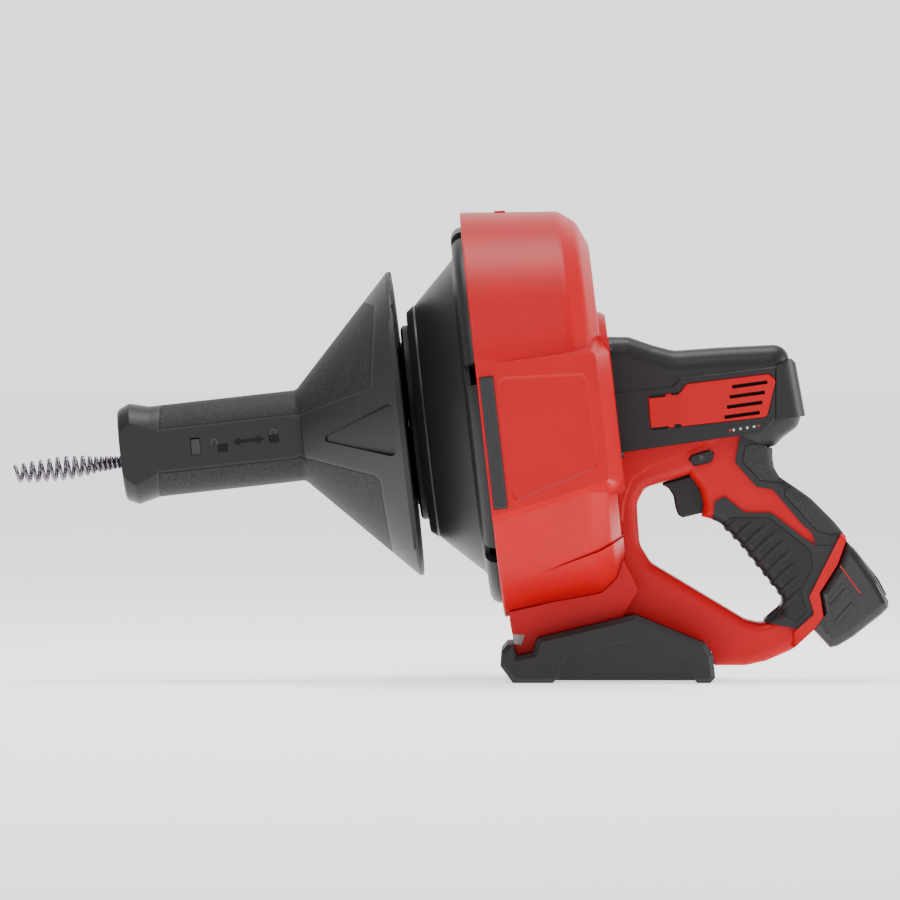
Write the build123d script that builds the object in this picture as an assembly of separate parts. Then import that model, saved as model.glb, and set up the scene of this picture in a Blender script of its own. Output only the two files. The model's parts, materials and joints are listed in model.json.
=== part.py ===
from build123d import *
import math
import os

# Hand-held drain snake machine: a drum of cable turned by a battery motor.
# Millimetres, +Z up. The origin is under the middle of the object on the surface it stands on.
# The nozzle points to -X and is nose down; the battery is at +X; the object is symmetric about Y = 0.

# ---- driving dimensions -------------------------------------------------------------------------
AXIS_HEIGHT = 170.0        # height of the drum axis above the origin
AXIS_TILT = 6.4            # nose-down tilt of the drum axis, degrees
RUNNING_GAP = 0.3          # gap between curved faces that turn past each other
SHAFT_GAP = 0.06           # radial clearance of a shaft in its bearing

CABLE_R = 4.0              # drain cable, 8 mm
CABLE_DROP = 4.3           # how far the loose cable lies below the axis in the nozzle
BULB_R = 8.2
BULB_TIP_R = 6.0
BULB_TIP_U = -285.9
FEED_TRAVEL = 100.0
LOCK_TRAVEL = 12.0

NOSE_U = -214.6            # front face of the nozzle
COLLAR_END_U = -193.6
BARREL_R = 29.6
BARREL_WALL = 2.6
BARREL_FLAT = 25.8         # half distance across the nozzle's side flats
NOZZLE_BORE_R = 10.0
GUARD_START_U = -97.5
GUARD_END_U = -27.7
GUARD_R = 99.6
GUARD_WALL = 3.0

NECK_R = 63.3
FLANGE_R = 71.7
DRUM_CONE_R = 101.7
DRUM_R = 122.9
DRUM_WALL = 3.0
DRUM_SPLIT_U = 21.5
DRUM_BACK_U = 93.5
DRUM_REAR_R = 117.5

SHROUD_FRONT_U = 21.0
SHROUD_FRONT_R = 132.3
SHROUD_REAR_R = 126.0
SHROUD_WALL = 3.0
SHROUD_BACK_U = 102.0
SHROUD_BOSS_U = 107.5
SHROUD_BOSS_R = 56.0
SCREW_CIRCLE = 48.5        # radius of the ring of screws in the boss
PANEL_Y = 126.6            # half distance across the shroud's side panels
PANEL_DEPTH = 30.0         # how deep the drafted edge of a side panel runs
PANEL_DRAFT = 17.0         # degrees
BUMPER_Y = 128.4

GEARBOX_R = 24.0
MOTOR_R = 19.0
SPINDLE_R = 6.0

FRAME_Y = 20.0             # half width of the red frame
PAD_Y = 22.0               # half width over the rubber pads
PAD_DEPTH = 2.4
WALL = 2.1
SHOULDER_Y = 21.6
COLLAR_Y = 24.0
BASE_Y = 34.0
HOUSING_Y = 28.0
FOOT_Y = 55.0
TRIGGER_Y = 8.5
TRIGGER_TRAVEL = 7.0
BATTERY_Y = 23.6
GRIP_ANGLE = 51.0          # battery axis below horizontal, degrees

AXIS_PLACE = Location((0, 0, AXIS_HEIGHT), (0, -AXIS_TILT, 0))
GRIP_POINT = (233.8, 0, 77.8)
GRIP_PLACE = Location(GRIP_POINT, (0, GRIP_ANGLE, 0))


# ---- helpers ------------------------------------------------------------------------------------
def outline(*corners):
    """Face in the XZ plane; each corner is (x, z) or (x, z, rounding radius)."""
    points = [(c[0], c[1]) for c in corners]
    radii = [c[2] if len(c) > 2 else 0 for c in corners]
    if any(radii):
        return Plane.XZ * make_face(FilletPolyline(*points, radius=radii, close=True))
    return Plane.XZ * make_face(Polyline(*points, close=True))


def slab(face, y_low, y_high):
    """Prism of an XZ outline between two Y values."""
    return extrude(Pos(0, y_high, 0) * face, amount=y_high - y_low, dir=(0, -1, 0))


def both_sides(face, half_width):
    return slab(face, -half_width, half_width)


def turned(*profile):
    """Solid of revolution about X; profile corners are (u, radius) or (u, radius, rounding)."""
    return revolve(outline(*profile), Axis.X, 360)


def tube(u_low, u_high, r_in, r_out):
    return turned((u_low, r_in), (u_high, r_in), (u_high, r_out), (u_low, r_out))


def rod(u_low, u_high, radius):
    return turned((u_low, 0), (u_high, 0), (u_high, radius), (u_low, radius))


def box(x_low, x_high, y_low, y_high, z_low, z_high):
    size = (x_high - x_low, y_high - y_low, z_high - z_low)
    centre = ((x_high + x_low) / 2, (y_high + y_low) / 2, (z_high + z_low) / 2)
    return Pos(*centre) * Box(*size)


def around_axis(shape, count, start=0.0):
    """Copies of a shape turned about the X axis."""
    return [Rot(start + 360 / count * i, 0, 0) * shape for i in range(count)]


def cap_screw(length, shank_r, head_r, head_height):
    """Pan screw along +X whose head starts at the origin and shank goes to +X."""
    head = turned((-head_height, 0), (0, 0), (0, head_r), (-head_height, head_r, head_height * 0.6))
    socket = Pos(-head_height, 0, 0) * Box(head_height, 0.9, head_r * 1.2)
    cross = Pos(-head_height, 0, 0) * Box(head_height, head_r * 1.2, 0.9)
    return head + rod(0, length, shank_r) - socket - cross


def mirrored(shape):
    return mirror(shape, Plane.XZ)


def left_half(shape):
    return shape & box(-400, 400, -200, 0, -100, 500)


def right_half(shape):
    return shape & box(-400, 400, 0, 200, -100, 500)


# ---- nozzle guide: collar, barrel and hand guard --------------------------------------------------
def guard_fin(y_low, y_high):
    """Smooth side panel that runs from the barrel and widens up to the guard's rim."""
    fin = outline((-104, 169.8), (-96, 170.8), (-51.4, 190), (-36, 240), (-22, 240), (-22, 86),
                  (-36, 85.5), (-42.4, 131.8), (-48.5, 134.7), (-96, 146.7), (-104, 145.2))
    return slab(fin, y_low, y_high)


def nose_collar():
    """Flared end ring of the nozzle; the barrel's side flats run on through it."""
    ring = turned(
        (NOSE_U, NOZZLE_BORE_R, 1.5), (NOSE_U, 29.1, 3.5), (-206.5, 33, 2.5), (COLLAR_END_U, 29.7),
        (COLLAR_END_U, 23.4), (COLLAR_END_U - 8, 23.4), (COLLAR_END_U - 8, 12.7), (-206, 12.7),
        (-206, NOZZLE_BORE_R))
    return ring & box(-300, -100, -BARREL_FLAT, BARREL_FLAT, -60, 60)


def guide_shell():
    """Barrel with flat sides, hand-guard cone with a rolled lip, and the rib that rides on the sleeve."""
    rise = GUARD_WALL * math.sqrt(2)
    body = turned(
        (COLLAR_END_U, 0), (COLLAR_END_U, BARREL_R), (GUARD_START_U, BARREL_R, 4),
        (GUARD_END_U - 3, GUARD_R - 0.6, 1.2), (GUARD_END_U, GUARD_R, 1.4), (GUARD_END_U, 0))
    body &= box(-300, GUARD_START_U + 2, -BARREL_FLAT, BARREL_FLAT, -60, 60) + box(
        GUARD_START_U + 2, 0, -120, 120, -120, 120)
    fin_skin = turned(
        (GUARD_START_U + 0.5, 22), (GUARD_START_U + 1.7, BARREL_R - 1), (GUARD_END_U - 4, GUARD_R + 0.4),
        (GUARD_END_U - 1, GUARD_R), (GUARD_END_U - 1, 60))
    fin_prism = AXIS_PLACE.inverse() * guard_fin(-120, 120)
    body += fin_skin & fin_prism
    recess = outline((-80, 159, 2), (-36, 182, 3), (-33.5, 146, 3), (-80, 155.5, 2))
    recess_skin = turned(
        (GUARD_START_U - 4, 20), (GUARD_START_U, BARREL_R - 1.0), (GUARD_END_U, GUARD_R - 1.0),
        (GUARD_END_U, GUARD_R + 8), (GUARD_START_U, BARREL_R + 8))
    body -= recess_skin & (AXIS_PLACE.inverse() * both_sides(recess, 120))
    hollow = turned(
        (COLLAR_END_U, 0), (COLLAR_END_U, BARREL_R - BARREL_WALL),
        (GUARD_START_U + 2, BARREL_R - BARREL_WALL), (GUARD_END_U - 1, GUARD_R - rise + 0.6),
        (GUARD_END_U, GUARD_R - 2.2), (GUARD_END_U, 0))
    hollow &= box(-300, GUARD_START_U + 3, -23.2, 23.2, -60, 60) + box(
        GUARD_START_U + 3, 0, -120, 120, -120, 120)
    body -= hollow
    rib = tube(-90, -80, SLEEVE_R + SHAFT_GAP, 50) & turned((-90, 0), (-90, 33.6), (-80, 43.8), (-80, 0))
    front_rib = tube(-157, -154, GUIDE_TUBE_R, 27.6) & box(-160, -140, -23.8, 23.8, -60, 60)
    body = body + rib + front_rib
    window = Pos(-165.5, 0, 0.4) * Box(6.4, 80, 11.6)
    return body - window


SLEEVE_R = 22.0
GUIDE_TUBE_R = 12.6


def guide_tube():
    """Inner tube that leads the cable from the chuck to the nose, flared at its rear end."""
    return turned(
        (-206, NOZZLE_BORE_R), (-206, GUIDE_TUBE_R), (-153, GUIDE_TUBE_R), (-148, 16.5), (-147, 15.2),
        (-153, NOZZLE_BORE_R))


def lock_indicator():
    """Ribbed lock marker behind the window on both sides, joined round the guide tube."""
    bar = Pos(-165.5, 0, 0) * Box(5.8, 48, 10.6)
    groove = Pos(-165.5, 0, 0) * Box(1.6, 52, 10.8) - Pos(-165.5, 0, 0) * Box(2, 47, 12)
    return bar - rod(-180, -150, GUIDE_TUBE_R + 0.05) - groove


def guide_sleeve():
    """Bush that turns on the drum neck and that the guide slides along."""
    return tube(-92, -62, NECK_TUBE_R + SHAFT_GAP, SLEEVE_R)


# ---- chuck ----------------------------------------------------------------------------------------
NECK_TUBE_R = 17.0
CHUCK_R = 13.0
JAW_LOW = 4.6


def chuck_body():
    body = tube(-126, -66, CABLE_R + 1.0, CHUCK_R)
    flange = tube(-66, -62, CABLE_R + 1.0, 15.5)
    slots = around_axis(Pos(-105, 0, 10) * Box(14.6, 5.3, 20), 3)
    for slot in slots:
        body -= slot
    return body + flange


def chuck_jaw(index):
    jaw = Pos(-105, 0, 8.6) * Box(14, 4.9, 8)
    jaw &= tube(-130, -80, JAW_LOW, CHUCK_R - 0.4)
    return Rot(120 * index, 0, 0) * jaw


def chuck_collar():
    """Ring that slides over the jaws and closes them."""
    return turned(
        (-126, CHUCK_R + 0.06), (-126, 18, 1), (-112, 20.5, 1), (-110, 20.5), (-110, 15.5), (-114, CHUCK_R + 0.06))


# ---- drum -----------------------------------------------------------------------------------------
def drum_neck():
    """Funnel that carries the chuck and bolts to the drum's nose flange."""
    body = turned(
        (-92, 0), (-92, NECK_TUBE_R), (-60, NECK_TUBE_R, 2), (-40, 44, 4), (-25.5, 52, 2), (-25.5, NECK_R - 2),
        (-24, NECK_R), (-20.6, NECK_R), (-20.6, 0))
    hollow = turned(
        (-92, 0), (-92, CHUCK_R + 0.02), (-66, CHUCK_R + 0.02), (-66, 15.55), (-58, 15.55), (-37, 43, 4),
        (-22.5, 48), (-20.6, 48), (-20.6, 0))
    holes = around_axis(Pos(-28, 0, 57.5) * rod(0, 12, 1.6), 6, 30)
    body -= hollow
    for hole in holes:
        body -= hole
    return body


def neck_screws():
    screw = Pos(-25.5, 0, 57.5) * cap_screw(9.5, 1.5, 2.8, 1.6)
    return Compound(children=around_axis(screw, 6, 30))


def drum_front():
    """Visible funnel of the drum: nose flange, cone, lip and the spigot that enters the rear shell."""
    body = turned(
        (-20.5, 50), (-20.5, FLANGE_R, 0.8), (-15.8, 75.6, 0.8), (-14.6, 75.6), (-13.9, 76.5),
        (12, DRUM_CONE_R, 2), (13.5, 104.5, 1), (13.5, DRUM_R, 7.5), (DRUM_SPLIT_U, DRUM_R),
        (DRUM_SPLIT_U, DRUM_R - DRUM_WALL - 0.1), (27, DRUM_R - DRUM_WALL - 0.7), (27, DRUM_R - 6),
        (17, DRUM_R - 6.5, 3), (16.5, 104, 2), (-10.5, 74, 2), (-14, 58), (-14, 50))
    for radius in (109.5, 114.5):
        body -= tube(13.2, 14.0, radius, radius + 0.8)
    notch = Pos(17, 0, 120) * Box(9.5, 14, 12)
    for slot in around_axis(notch, 6, 17):
        body -= slot
    for hole in around_axis(Pos(-21, 0, 57.5) * rod(0, 8, 1.5), 6, 30):
        body -= hole
    return body


def drum_back():
    body = turned(
        (DRUM_SPLIT_U + 0.05, DRUM_R), (80, DRUM_REAR_R), (88, 112, 6), (DRUM_BACK_U, 100, 6), (DRUM_BACK_U, 6.0),
        (90.5, 6.0), (90.5, 98, 4), (86, 109, 4), (79, DRUM_REAR_R - DRUM_WALL),
        (DRUM_SPLIT_U + 0.05, DRUM_R - DRUM_WALL))
    for hole in around_axis(Pos(88, 0, 15) * rod(0, 8, 1.6), 4, 45):
        body -= hole
    return body


def cable_coil():
    """The wound store of cable, as the outer shape of its turns."""
    return turned((28, 97, 3), (28, 113, 3), (80, 113, 3), (80, 97, 3))


def cable_inner_run():
    """Cable from the winding to the drum axis: a radial run, a quarter bend and a short axial run."""
    bend = 0.45 * 58 / math.tan(math.radians(45))
    corner_u = 70.0
    path = FilletPolyline((12, 0, 0), (corner_u, 0, 0), (corner_u, 0, 58), radius=[bend])
    print("cable inner bend radius", round(bend, 1))
    run = sweep(Plane.YZ.offset(12) * Circle(CABLE_R), path=path)
    return run + Pos(corner_u, 0, 58) * Cylinder(CABLE_R, 38.8, align=(Align.CENTER, Align.CENTER, Align.MIN))


def cable_lead():
    """Straight on the axis through the chuck, then a shallow drop to the floor of the nozzle tube."""
    drop_u = (-134.0, -180.0)
    turn = math.degrees(math.atan(CABLE_DROP / (drop_u[0] - drop_u[1])))
    bend = 0.45 * 32 / math.tan(math.radians(turn / 2))
    path = FilletPolyline((11.9, 0, 0), (drop_u[0], 0, 0), (drop_u[1], 0, -CABLE_DROP), (-212, 0, -CABLE_DROP),
                          radius=[bend, bend])
    print("cable drop bend radius", round(bend, 1), "length", round(path.length, 1))
    return sweep(Plane.YZ.offset(11.9) * Circle(CABLE_R), path=path)


def bulb_auger():
    """Outer shape of the bulb head: the cable's wire opened into a barrel-shaped spring."""
    shape = turned(
        (BULB_TIP_U, 0), (BULB_TIP_U, BULB_TIP_R), (-275, 7.6), (-258, BULB_R, 30), (-240, 7.7), (-214, CABLE_R + 0.4),
        (-212.05, CABLE_R), (-212.05, 0))
    return Pos(0, 0, -CABLE_DROP) * shape


def output_spindle():
    return rod(70, 142, SPINDLE_R - 0.02) + rod(70, 73, 9)


def drive_hub():
    body = tube(82, 90.4, SPINDLE_R, 21)
    for hole in around_axis(Pos(80, 0, 15) * rod(0, 12, 1.5), 4, 45):
        body -= hole
    return body


def hub_screws():
    screw = Pos(82, 0, 15) * cap_screw(11, 1.45, 2.8, 1.6)
    return Compound(children=around_axis(screw, 4, 45))


# ---- shroud ---------------------------------------------------------------------------------------
def shroud_panel_face(inset=0.0):
    """Outline of the flat side panel in the axis frame."""
    return outline((SHROUD_FRONT_U + inset, 33 - inset), (98 - inset, 33 - inset, 3),
                   (98 - inset, -49 + inset, 3), (32, -62 + inset, 2), (SHROUD_FRONT_U + inset, -64 + inset))


def shroud_bridge():
    """Raised band across the shroud's back that joins the two side panels to the middle boss."""
    half = PANEL_Y - PANEL_DEPTH + 0.5
    face = outline((90, 43), (SHROUD_BOSS_U, 43, 4), (SHROUD_BOSS_U, -59, 4), (90, -59))
    return both_sides(face, half)


def shroud_chin(grow=0.0):
    """Fuller skin over the lower rear corner of the shroud, below a sloping crease."""
    skin = turned(
        (45, 110), (45, 129.7 + grow), (62, 128.8 + grow), (84.8 + grow, 127.2 + grow, 10), (96 + grow, 119 + grow, 10),
        (103.2 + grow, 102.5, 8), (103.2 + grow, 88), (96, 88))
    face = outline((20, -111.5 + grow), (87, -94.6 + grow), (110, -85 + grow), (110, -140), (20, -140))
    return skin & both_sides(face, 140)


def shroud():
    """Fixed cover round the drum, open at the front, with a flat panel on each side."""
    outer = turned(
        (SHROUD_FRONT_U, 0), (SHROUD_FRONT_U, SHROUD_FRONT_R, 1.2), (84, SHROUD_REAR_R, 10), (95, 118, 10),
        (SHROUD_BACK_U, 102, 8), (SHROUD_BACK_U, SHROUD_BOSS_R + 3, 2), (SHROUD_BOSS_U, SHROUD_BOSS_R, 2),
        (SHROUD_BOSS_U, 0))
    panel = extrude(Pos(0, PANEL_Y, 0) * shroud_panel_face(), amount=PANEL_DEPTH, dir=(0, -1, 0), taper=-PANEL_DRAFT)
    outer += panel
    outer += mirrored(panel)
    outer += shroud_bridge()
    outer &= box(SHROUD_FRONT_U, 200, -PANEL_Y, PANEL_Y, -160, 160)
    ridge = turned((43.5, 127), (43.5, 130.8), (50.5, 130.4), (51, 127))
    outer += ridge & box(40, 55, -9, 9, 100, 140)
    outer += shroud_chin()
    hollow = turned(
        (SHROUD_FRONT_U, 0), (SHROUD_FRONT_U, SHROUD_FRONT_R - SHROUD_WALL), (84, SHROUD_REAR_R - SHROUD_WALL, 8),
        (93, 115.5, 8), (98, 101, 6), (98, 0)) & box(-10, 200, -124.4, 124.4, -160, 160)
    outer -= hollow
    outer -= rod(90, 120, GEARBOX_R + 0.1)
    recess = outline((34, 24, 5), (91, 20.5, 5), (92.5, -40.5, 5), (34.5, -57, 5))
    floor = extrude(Pos(0, PANEL_Y + 0.01, 0) * recess, amount=0.9, dir=(0, -1, 0), taper=62)
    outer -= floor
    outer -= mirrored(floor)
    seat = outline((22.6, 25.2), (31.8, 25.2), (31.8, -59.8), (22.6, -59.8))
    outer -= both_sides(seat, 140) - both_sides(seat, PANEL_Y - 1.0)
    for hole in around_axis(Pos(97, 0, SCREW_CIRCLE) * rod(0, 14, 1.7), 4, 45):
        outer -= hole
    return outer


def side_bumper():
    """Raised rubber bar at the front of a side panel (right side)."""
    bar = slab(outline((22.8, 25, 1.5), (31.6, 25, 1.5), (31.6, -59.6, 1.5), (22.8, -59.6, 1.5)),
               PANEL_Y - 0.95, BUMPER_Y)
    return chamfer(bar.faces().sort_by(Axis.Y)[-1].edges(), 1.2)


def shroud_screws():
    screw = Rot(0, 0, 180) * cap_screw(9.5, 1.6, 3.2, 2)
    return Compound(children=around_axis(Pos(SHROUD_BOSS_U + 0.02, 0, SCREW_CIRCLE) * screw, 4, 45))


# ---- drive ----------------------------------------------------------------------------------------
def gearbox_case():
    body = rod(99, 150, GEARBOX_R) - rod(99, 116.2, 11.05) - rod(116, 144, 21)
    return body - rod(140, 160, 5)


def spindle_bearing():
    return tube(99.1, 115.9, SPINDLE_R + SHAFT_GAP, 11.0)


def output_carrier():
    """Carrier plate of the output stage, keyed on the spindle."""
    body = rod(118, 124, 16) - rod(110, 130, SPINDLE_R)
    for pin in around_axis(Pos(124, 0, 10.5) * rod(0, 12, 2.4), 3):
        body += pin
    return body


def motor_can():
    body = rod(150.1, 206, MOTOR_R) - rod(152.5, 203.5, 16.5) - rod(140, 160, 4.5)
    return body - rod(203, 210, 2.6)


def motor_rotor():
    shaft = rod(144.5, 207, 2.5)
    return shaft + rod(158, 190, 14) + rod(192, 200, 6)


# ---- rear body: housing, frame, grips -------------------------------------------------------------
HOUSING_TOP = ((100, 223.2), (116, 223, 6), (131, 217.8, 20), (145, 214.1, 20), (175, 216.2, 60),
               (217.2, 218.3, 10), (228.9, 176.3, 10), (225.6, 165, 8), (216, 158, 8), (210.9, 152.4, 4))


def housing_outline():
    return outline(*HOUSING_TOP, (206, 151.5), (188.4, 159.4), (100, 146.8))


def vent_face(inset=0.0):
    return outline((128 + inset, 185.6 - inset, 2), (130 + inset, 162.6 + inset, 2), (150, 164.8 + inset, 2),
                   (205.6 - inset, 171 + inset, 3), (211.4 - inset, 195.4 - inset, 3), (206.6 - inset, 199.6 - inset, 3),
                   (153 + inset, 193 - inset, 3), (149 + inset, 187.4 - inset, 3))


def vent_slots():
    """Four slots through a vent panel and the housing wall behind it."""
    slots = []
    for row in range(4):
        x_left = 182.7 - 1.63 * row
        z_left = 191.9 - 6.55 * row
        slot = Pos(x_left + 11.4, 0, z_left + 0.4) * Rot(0, -7.8, 0) * Box(23, 200, 2.3)
        slots.append(slot)
    return slots


def gauge_face():
    return outline((179.9, 160.2, 0.8), (200.3, 162.6, 0.8), (201.2, 168, 0.8), (181.4, 165.9, 0.8))


def housing_round(edge):
    c = edge.center()
    return c.Z > 164 and c.X > 112


def cheek_face():
    """Flat raised side of the housing round the vent panel, up to a stepped crease."""
    return outline((100, 186.6), (143.5, 190.4, 2), (149, 196.8, 2), (211.3, 204.1), (211.3, 171), (204, 162.4),
                   (188.4, 159.6), (100, 147))


def cheek_edge(edge):
    c = edge.center()
    return c.X > 104 and c.Z > 163


def motor_housing():
    """Both halves of the housing as one solid, with the drive's bore, the vent recess and the cap seat."""
    outer = both_sides(housing_outline(), HOUSING_Y)
    edges = ShapeList()
    for face in (outer.faces().sort_by(Axis.Y)[0], outer.faces().sort_by(Axis.Y)[-1]):
        edges += face.edges().filter_by(housing_round)
    outer = fillet(edges, 13)
    cheek = slab(cheek_face(), 0, HOUSING_Y + 0.9)
    cheek = chamfer(cheek.faces().sort_by(Axis.Y)[-1].edges().filter_by(cheek_edge), 0.85)
    outer += cheek + mirrored(cheek)
    hollow = AXIS_PLACE * (rod(100, 150.2, GEARBOX_R + 0.1) + rod(150, 209.5, MOTOR_R + 1.2))
    outer -= hollow
    outer -= AXIS_PLACE * rod(90, SHROUD_BOSS_U + 0.05, SHROUD_BOSS_R + 30)
    outer -= both_sides(vent_face(), 60) - both_sides(vent_face(), HOUSING_Y - 1.6)
    outer -= both_sides(gauge_face(), 60) - both_sides(gauge_face(), HOUSING_Y - 0.3)
    for slot in vent_slots():
        outer -= slot
    return outer


def rear_cap():
    """Cap that wraps the rear of the housing and stands proud of it all round."""
    face = outline((211.3, 204.4), (221.3, 209), (224.2, 206.2), (230.4, 172), (211.3, 169.6))
    cap = both_sides(face, HOUSING_Y + 0.9)
    rims = ShapeList()
    for side in (cap.faces().sort_by(Axis.Y)[0], cap.faces().sort_by(Axis.Y)[-1]):
        rims += side.edges().filter_by(cap_rear_edge)
    cap = fillet(rims, 12)
    return cap - AXIS_PLACE * rod(150, 209.5, MOTOR_R + 1.2)


def cap_rear_edge(edge):
    return edge.center().X > 225


def vent_panel():
    panel = slab(vent_face(0.25), HOUSING_Y - 1.5, HOUSING_Y + 1.0)
    panel = chamfer(panel.faces().sort_by(Axis.Y)[-1].edges(), 0.5)
    for x, z, length in ((134.4, 184.9, 10.6), (145.8, 186.6, 5.2), (136.2, 163.8, 11.3), (147.7, 165.7, 4.5)):
        panel -= Pos(x, HOUSING_Y, z) * Rot(0, -6, 0) * Box(length, 10, 2.2)
    for slot in vent_slots():
        panel -= slot
    return panel


def gauge_plate():
    plate = slab(gauge_face(), HOUSING_Y - 0.25, HOUSING_Y + 1.1)
    for x, z in GAUGE_LAMPS:
        plate -= Pos(x, HOUSING_Y, z) * Rot(90, 0, 0) * Cylinder(0.95, 8)
    return plate


GAUGE_LAMPS = [(183.8 + 4.4 * i, 162.9 + 0.72 * i) for i in range(4)]


def gauge_lamps():
    lamps = [Pos(x, -HOUSING_Y - 0.5, z) * Rot(90, 0, 0) * Cylinder(0.85, 1.5) for x, z in GAUGE_LAMPS]
    return Compound(children=lamps)


HANDLE_BACK = ((209.2, 151.5), (209.3, 144), (210.2, 138.5, 6), (213.6, 132.5, 5), (225.3, 124.6, 30), (234, 118.5, 30), (249.1, 103.4, 20),
               (257.2, 93.4))


def frame_outline():
    """Outer outline of the D-handle and base, without the finger opening."""
    return outline(
        (100, 146.6), (188.4, 159.2), (206, 151.3), *HANDLE_BACK, (251.2, 75.9, 2), (239.5, 57.3, 2),
        (242.1, 41.7, 2), (235.6, 33.1, 1), (221.7, 20.2, 8), (205.1, 13, 10), (191.9, 10.1, 8), (171.8, 10.1),
        (170.3, 18), (165.4, 25.4), (119.7, 44.1), (56.8, 29.2), (53.6, 19.6),
        (44.2, 17.6), (41.6, 24, 2), (38.9, 40.4), (75, 60), (100, 120))


def finger_opening():
    return outline(
        (122, 104, 20), (123.2, 88.5, 14), (130.5, 76.6, 10), (191.8, 39.8, 16), (203, 37.2, 12), (213.5, 43.5, 9),
        (216, 54, 8), (188.5, 88.8, 40), (175.4, 102.3, 10), (169.4, 104.9, 6), (163.4, 106.5), (164.6, 114, 6),
        (162.4, 124, 10), (155, 134),
        (135.5, 127.9, 8), (126.5, 125.2, 8), (121.4, 115.5, 12))


def shroud_clearance():
    """Space kept for the shroud, its rear boss and the band across its back."""
    band = both_sides(outline((60, 43.3), (SHROUD_BOSS_U + 0.3, 43.3), (SHROUD_BOSS_U + 0.3, -59.3), (60, -59.3)), 110)
    return AXIS_PLACE * (band + shroud_chin(0.3) + turned(
        (-40, 0), (-40, SHROUD_FRONT_R + 0.9), (SHROUD_FRONT_U, SHROUD_FRONT_R + 0.9),
        (84, SHROUD_REAR_R + 0.3, 10), (95.3, 118.3, 10), (SHROUD_BACK_U + 0.3, 102.3, 8),
        (SHROUD_BACK_U + 0.3, SHROUD_BOSS_R + 3.3), (SHROUD_BOSS_U + 0.3, SHROUD_BOSS_R + 0.3),
        (SHROUD_BOSS_U + 0.3, 0)))


def handle_body(half_width, rounding):
    """D-shaped handle with its long edges rounded and the finger opening bevelled."""
    body = both_sides(frame_outline(), half_width) - both_sides(finger_opening(), half_width + 5)
    edges = ShapeList()
    for face in (body.faces().sort_by(Axis.Y)[0], body.faces().sort_by(Axis.Y)[-1]):
        edges += face.edges().filter_by(opening_edge) + face.edges().filter_by(outer_edge)
    return fillet(edges, rounding)


def opening_edge(edge):
    c = edge.center()
    return 121 < c.X < 217 and 37 < c.Z < 135


def outer_edge(edge):
    """Edges of the grip's back and of the arm's underside."""
    c = edge.center()
    return (c.X > 209 and c.Z > 97) or (c.X > 172 and c.Z < 34)


def base_block():
    """Wider base under the shroud; it carries the foot and the work light."""
    face = outline((38.9, 60), (38.9, 40.4), (41.6, 24, 2), (44.2, 17.6), (53.6, 19.6), (56.8, 29.2),
                   (112, 42.3), (122, 60), (112, 80), (60, 80))
    block = both_sides(face, BASE_Y)
    return block


def shoulder_block():
    """Wider part of the frame round the trigger, under the housing."""
    face = outline((100, 146.6), (176, 157.4), (153.9, 147.3), (131.3, 139.4, 8), (118.5, 130.5, 8),
                   (113.5, 116, 6), (112.4, 104), (100, 104))
    block = both_sides(face, SHOULDER_Y)
    rims = ShapeList()
    for side in (block.faces().sort_by(Axis.Y)[0], block.faces().sort_by(Axis.Y)[-1]):
        rims += side.edges().filter_by(shoulder_edge)
    return chamfer(rims, 1.5)


def shoulder_edge(edge):
    """Lower edges of the shoulder, away from the housing and the shroud."""
    c = edge.center()
    return c.X > 112.8 and c.Z < 145


def collar_face():
    return outline((257.1, 92.2), (253.4, 95.6), (232.8, 54.7, 2), (236.1, 43.7, 2), (222, 31), (223, 21.5),
                   (235.6, 33.1), (242.1, 41.7), (239.5, 57.3), (251.2, 75.9))


def front_pad_face():
    """Side outline of the ribbed rubber on the finger side of the grip."""
    return outline((169.2, 100), (171.3, 110.6), (171.5, 116, 1), (177.8, 119.8, 1), (191, 109.3, 1),
                   (208.4, 109.1, 1), (230.9, 91.8), (233.6, 90.5), (236.8, 88), (249.6, 88.1),
                   (232.6, 54.7, 1), (235.9, 43.7, 1), (224.8, 33.9), (205, 38), (200, 60), (180, 85))


def palm_pad_face():
    """Side outline of the rubber on the palm side, up to the web of the thumb."""
    return outline((188.2, 159.8), (184.7, 141.9, 1), (198.5, 126, 1), (209, 124.4, 1), (227.7, 102.3), (234.9, 95.7),
                   (236.9, 88.3), (249.8, 88.4), (253.2, 95.4), (262, 100), (240, 140), (212, 150), (206, 151.8))


def grip_core():
    """What lies under the rubber: the frame with its silhouette drawn in by the pad depth."""
    face = offset(frame_outline(), -PAD_DEPTH) - offset(finger_opening(), PAD_DEPTH)
    return both_sides(face, FRAME_Y - 0.2)


def front_pad(skin, core):
    pad = (skin & both_sides(front_pad_face(), 60)) - core
    return biggest(pad)


def palm_pad(skin, core):
    pad = (skin & both_sides(palm_pad_face(), 60)) - core
    return biggest(pad)


def biggest(shape):
    return shape.solids().sort_by(SortBy.VOLUME)[-1]


def trigger_face():
    return outline((157.5, 134, 1), (136.3, 127.6, 1), (141.8, 124.9, 4), (145.2, 119.6, 8), (146.4, 112.2, 4),
                   (148.2, 107.2, 2), (151.2, 105.7, 2), (166.2, 109.3, 2), (167.9, 113.5, 2), (166.6, 120.5, 6),
                   (162, 130, 4))


TRIGGER_PLACE = (math.cos(math.radians(15)), 0, math.sin(math.radians(15)))


def trigger():
    body = both_sides(trigger_face(), TRIGGER_Y)
    for order in (0, -1):
        body = fillet(body.faces().sort_by(Axis.Y)[order].edges(), 1.8)
    stem = both_sides(outline((155, 116), (160.5, 128), (167.5, 129.5), (167.5, 117)), 6)
    return body + stem


def trigger_space():
    """Pocket swept by the trigger as it is pulled."""
    face = offset(trigger_face(), 0.5)
    space = None
    for step in range(9):
        moved = Pos(TRIGGER_PLACE[0] * step, 0, TRIGGER_PLACE[2] * step) * face
        piece = both_sides(moved, TRIGGER_Y + 0.5)
        space = piece if space is None else space + piece
    stem = both_sides(outline((150, 113), (155, 131), (177, 135), (177, 116)), 6.6)
    return space + stem


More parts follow.
